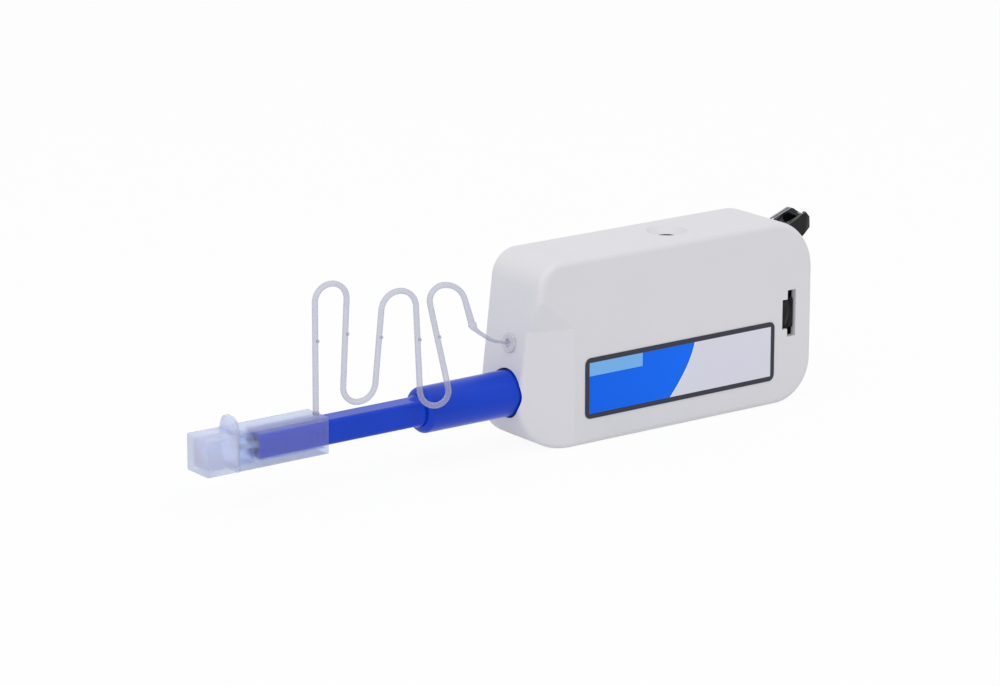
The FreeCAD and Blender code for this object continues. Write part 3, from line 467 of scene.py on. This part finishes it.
def makeBead():
    # a round bead along the route, through the knob and down the neck
    values = mouldedStrap
    bpy.ops.curve.primitive_nurbs_path_add(radius=mm)
    bead = bpy.context.active_object
    bead.name = "mouldedStrap"
    curve = bead.data
    curve.splines.clear()
    path = roundedRoute(values["route"], values["cornerSteps"], values["cornerShare"])
    points = [(strapPoint(*place), 1.0) for place in path]
    end = points.pop()[0]
    points += [(end + Vector(step[:3]) * mm, step[3]) for step in values["knob"]]
    points += [(Vector(place[:3]) * mm, place[3]) for place in values["neck"]]
    spline = curve.splines.new("POLY")
    spline.points.add(len(points) - 1)
    for point, (place, swell) in zip(spline.points, points):
        point.co = (*place, 1.0)
        point.radius = swell
    curve.dimensions = "3D"
    curve.bevel_depth = values["thickness"] * mm
    curve.bevel_resolution = values["roundness"]
    curve.use_fill_caps = True
    pick(bead)
    bead.matrix_world = Matrix.Identity(4)
    bpy.ops.object.convert(target="MESH")
    closeSeams(bead)
    return bead


def makeNubs():
    # one nub with its edges rounded, and a copy of it at the middle of each limb
    values = mouldedStrap
    bpy.ops.mesh.primitive_cube_add(size=values["nubSize"] * mm)
    first = bpy.context.active_object
    roundEdges(first, values["nubEdge"] * mm)
    nubs = []
    for limb in values["nubs"]:
        (a, b), (c, d) = values["route"][limb], values["route"][limb + 1]
        share = 0.5 + values["nubRise"] / (d - b)
        nub = bpy.data.objects.new("nub", first.data.copy())
        bpy.context.scene.collection.objects.link(nub)
        nub.location = strapPoint(a + (c - a) * share, b + (d - b) * share)
        nub.location.x += values["thickness"] * values["nubReach"] * mm
        settle(nub)
        nubs.append(nub)
    bpy.data.objects.remove(first)
    return nubs


def makeFoot():
    values = mouldedStrap
    height = values["footHeight"] * mm
    bpy.ops.mesh.primitive_cylinder_add(
        vertices=values["footSides"], radius=values["footRadius"] * mm, depth=height,
        location=Vector(values["foot"]) * mm + Vector((0, 0, height / 2)))
    foot = bpy.context.active_object
    settle(foot)
    roundEdges(foot, values["footEdge"] * mm)
    return foot


def makeButton():
    values = strapButton
    lean = math.radians(values["lean"])
    outward = Vector((-math.cos(lean), 0, math.sin(lean)))
    turn = outward.to_track_quat("Z", "Y").to_euler()
    place = Vector(values["place"]) * mm
    depth = values["depth"] * mm
    bpy.ops.mesh.primitive_cylinder_add(
        vertices=values["sides"], radius=values["radius"] * mm, depth=depth,
        location=place + outward * depth / 2, rotation=turn)
    button = bpy.context.active_object
    settle(button)
    roundEdges(button, values["edge"] * mm)
    bpy.ops.mesh.primitive_cylinder_add(
        vertices=values["smallSides"], radius=values["dimpleRadius"] * mm,
        depth=2 * values["dimpleDepth"] * mm, location=place + outward * depth, rotation=turn)
    combine(button, bpy.context.active_object, "DIFFERENCE")
    stem = values["stemLength"] * mm
    bpy.ops.mesh.primitive_cylinder_add(
        vertices=values["smallSides"], radius=values["stemRadius"] * mm, depth=stem,
        location=place + Vector((stem / 2, 0, 0)), rotation=(0, math.radians(90), 0))
    combine(button, bpy.context.active_object, "UNION")
    return button


def makeStrap():
    strap, nubs, button, foot = makeBead(), makeNubs(), makeButton(), makeFoot()
    for piece in [strap, foot] + nubs:
        coat(piece, strapPlastic)
    coat(button, buttonPlastic)
    joinAll(strap, nubs + [button, foot])
    stretchPiece(strap, mouldedStrap["smoothing"], "tether")
    print("strap", len(strap.data.polygons))


# Lid: the CAD lid cut off below its tab, and a thumb tab across it, a plate with a rounded
# trapezium outline, given as across and up
thumbTab = {"outline": [(2.45, 13.3), (1.55, 15.6), (0.9, 16.15), (-0.9, 16.15), (-2.0, 15.5),
                        (-2.75, 13.3)],
            "start": -91.35, "thickness": 1.15, "edge": 0.22, "cut": 13.55, "smoothing": 30}


def makeLid():
    values = thumbTab
    lid = copyNode("cap_lid", "snapLid")
    pick(lid)
    bpy.ops.object.mode_set(mode="EDIT")
    bpy.ops.mesh.select_all(action="SELECT")
    bpy.ops.mesh.bisect(plane_co=(0, 0, values["cut"] * mm), plane_no=(0, 0, 1),
                        use_fill=True, clear_outer=True)
    bpy.ops.object.mode_set(mode="OBJECT")

    # the outline grows from one point, is filled, and is then drawn out to its thickness
    outline = [Vector((0, *point)) * mm for point in values["outline"]]
    bpy.ops.mesh.primitive_plane_add(
        size=mm, location=outline[0] + Vector((values["start"], 0, 0)) * mm)
    tab = bpy.context.active_object
    bpy.ops.object.mode_set(mode="EDIT")
    bpy.ops.mesh.select_all(action="SELECT")
    bpy.ops.mesh.merge(type="CENTER")
    for before, after in zip(outline, outline[1:]):
        bpy.ops.mesh.extrude_vertices_move(TRANSFORM_OT_translate={"value": after - before})
    bpy.ops.mesh.select_all(action="SELECT")
    bpy.ops.mesh.edge_face_add()
    bpy.ops.mesh.extrude_region_move(
        TRANSFORM_OT_translate={"value": (values["thickness"] * mm, 0, 0)})
    bpy.ops.mesh.select_all(action="SELECT")
    bpy.ops.mesh.normals_make_consistent(inside=False)
    bpy.ops.object.mode_set(mode="OBJECT")
    settle(tab)
    roundEdges(tab, values["edge"] * mm)
    combine(lid, tab, "UNION")
    coat(lid, lidPlastic)
    finishPiece(lid, "lid", values["smoothing"], "cap_lid")
    print("lid", len(lid.data.polygons))


# Strap lug on the chassis: a dished top between raised rims, and a rolled rim round its end.
# Each rim has its two ends and its radius
dishedLug = {"dish": (32.9, -0.35, 35.6), "dishSize": (4.6, 1.95, 3.0), "tilt": 29,
             "dishSegments": 48, "dishRings": 24, "rimSides": 24, "rimEdge": 0.4, "smoothing": 30,
             "rims": [((29.8, 2.15, 32.6), (34.0, 2.15, 34.15), 0.2),
                      ((30.1, 1.45, 32.75), (34.1, 1.45, 34.2), 0.13),
                      ((34.9, 1.6, 33.3), (34.9, -1.8, 33.3), 0.2),
                      ((35.3, 1.6, 31.9), (35.3, -2.1, 31.9), 0.12),
                      ((33.6, -2.2, 33.9), (35.15, -2.2, 32.9), 0.16)]}


def makeChassis():
    values = dishedLug
    chassis = copyNode("chassis", "chassisFrame")
    bpy.ops.mesh.primitive_uv_sphere_add(
        segments=values["dishSegments"], ring_count=values["dishRings"], radius=mm,
        location=Vector(values["dish"]) * mm, rotation=(0, -math.radians(values["tilt"]), 0))
    dish = bpy.context.active_object
    dish.scale = values["dishSize"]
    combine(chassis, dish, "DIFFERENCE")
    coat(chassis, blackPlastic)
    rims = []
    for start, finish, radius in values["rims"]:
        start, finish = Vector(start) * mm, Vector(finish) * mm
        bpy.ops.mesh.primitive_cylinder_add(
            vertices=values["rimSides"], radius=radius * mm, depth=(finish - start).length,
            location=(start + finish) / 2,
            rotation=(finish - start).to_track_quat("Z", "Y").to_euler())
        rim = bpy.context.active_object
        settle(rim)
        roundEdges(rim, radius * values["rimEdge"] * mm)
        # each rim is coloured pale grey: a painted highlight along the lug's rims
        coat(rim, rimPaintedHighlight)
        rims.append(rim)
    joinAll(chassis, rims)
    finishPiece(chassis, "housing", values["smoothing"], "chassis")
    print("chassis", len(chassis.data.polygons))


print("springs, strap, lid and chassis")
makeSprings()
makeStrap()
makeLid()
makeChassis()


# Studio: a white table and backdrop, and two broad soft lamps aimed at the housing
studio = {"floorSize": 6.0, "floorColour": "#F2F2F2", "floorRoughness": 0.9, "floorShare": 0.93,
          "worldColour": "#F6F7FA", "worldStrength": 0.72, "aim": (-0.01, 0, 0.015),
          "topSize": 1.2, "topPower": 3.4, "topPlace": (-0.1, -0.25, 0.9),
          "sideSize": 0.9, "sidePower": 1.6, "sidePlace": (-0.9, -0.35, 0.3)}


def sightRays(tree):
    # 1 for a ray from the camera, off a glossy face or through glass: these meet plain white
    rays = addNode(tree, "ShaderNodeLightPath")
    mirrored = addNode(tree, "ShaderNodeMath", {
        0: rays.outputs["Is Camera Ray"], 1: rays.outputs["Is Glossy Ray"]}, operation="MAXIMUM")
    return addNode(tree, "ShaderNodeMath", {
        0: mirrored.outputs[0], 1: rays.outputs["Is Transmission Ray"]},
        operation="MAXIMUM").outputs[0]


def makeFloor():
    values = studio
    bpy.ops.mesh.primitive_plane_add(size=values["floorSize"], location=(0, 0, 0))
    floor = bpy.context.active_object
    floor.name = "floor"
    material, tree, shader = newMaterial("whiteTable", {
        "Base Color": linearColour(values["floorColour"]), "Roughness": values["floorRoughness"]})
    share = addNode(tree, "ShaderNodeMath", {
        0: sightRays(tree), 1: values["floorShare"]}, operation="MULTIPLY")
    white = addNode(tree, "ShaderNodeEmission", {"Color": (1, 1, 1, 1), "Strength": 1.0})
    mixed = addNode(tree, "ShaderNodeMixShader", {
        0: share.outputs[0], 1: shader.outputs["BSDF"], 2: white.outputs["Emission"]})
    tree.links.new(mixed.outputs["Shader"], tree.nodes["Material Output"].inputs["Surface"])
    coat(floor, material)


def makeBackdrop():
    values = studio
    world = bpy.data.worlds.new("softRoom")
    bpy.context.scene.world = world
    world.use_nodes = True
    tree = world.node_tree
    tree.nodes.clear()
    room = addNode(tree, "ShaderNodeBackground", {
        "Color": linearColour(values["worldColour"]), "Strength": values["worldStrength"]})
    white = addNode(tree, "ShaderNodeBackground", {"Color": (1, 1, 1, 1), "Strength": 1.0})
    mixed = addNode(tree, "ShaderNodeMixShader", {
        0: sightRays(tree), 1: room.outputs[0], 2: white.outputs[0]})
    addNode(tree, "ShaderNodeOutputWorld", {"Surface": mixed.outputs[0]})


def makeLamps():
    values = studio
    for name in ("top", "side"):
        lamp = bpy.data.lights.new(f"{name}Lamp", "AREA")
        lamp.size = values[f"{name}Size"]
        lamp.energy = values[f"{name}Power"]
        holder = bpy.data.objects.new(f"{name}Lamp", lamp)
        holder.location = values[f"{name}Place"]
        aim = Vector(values["aim"]) - holder.location
        holder.rotation_euler = aim.to_track_quat("-Z", "Y").to_euler()
        bpy.context.scene.collection.objects.link(holder)


# Camera: a long lens, a little above the object and off its front corner
viewpoint = {"place": (-0.4469, -0.5600, 0.2102), "heading": 53.59, "down": 15.32,
             "lens": 147.24, "sensor": 36}


def makeCamera():
    values = viewpoint
    lens = bpy.data.cameras.new("camera")
    lens.lens = values["lens"]
    lens.sensor_width = values["sensor"]
    holder = bpy.data.objects.new("camera", lens)
    holder.location = values["place"]
    holder.rotation_euler = Euler((math.radians(90 - values["down"]), 0,
                                   math.radians(values["heading"] - 90)))
    bpy.context.scene.collection.objects.link(holder)
    bpy.context.scene.camera = holder


print("studio and camera")
makeFloor()
makeBackdrop()
makeLamps()
makeCamera()
bpy.context.scene.view_settings.view_transform = "Standard"
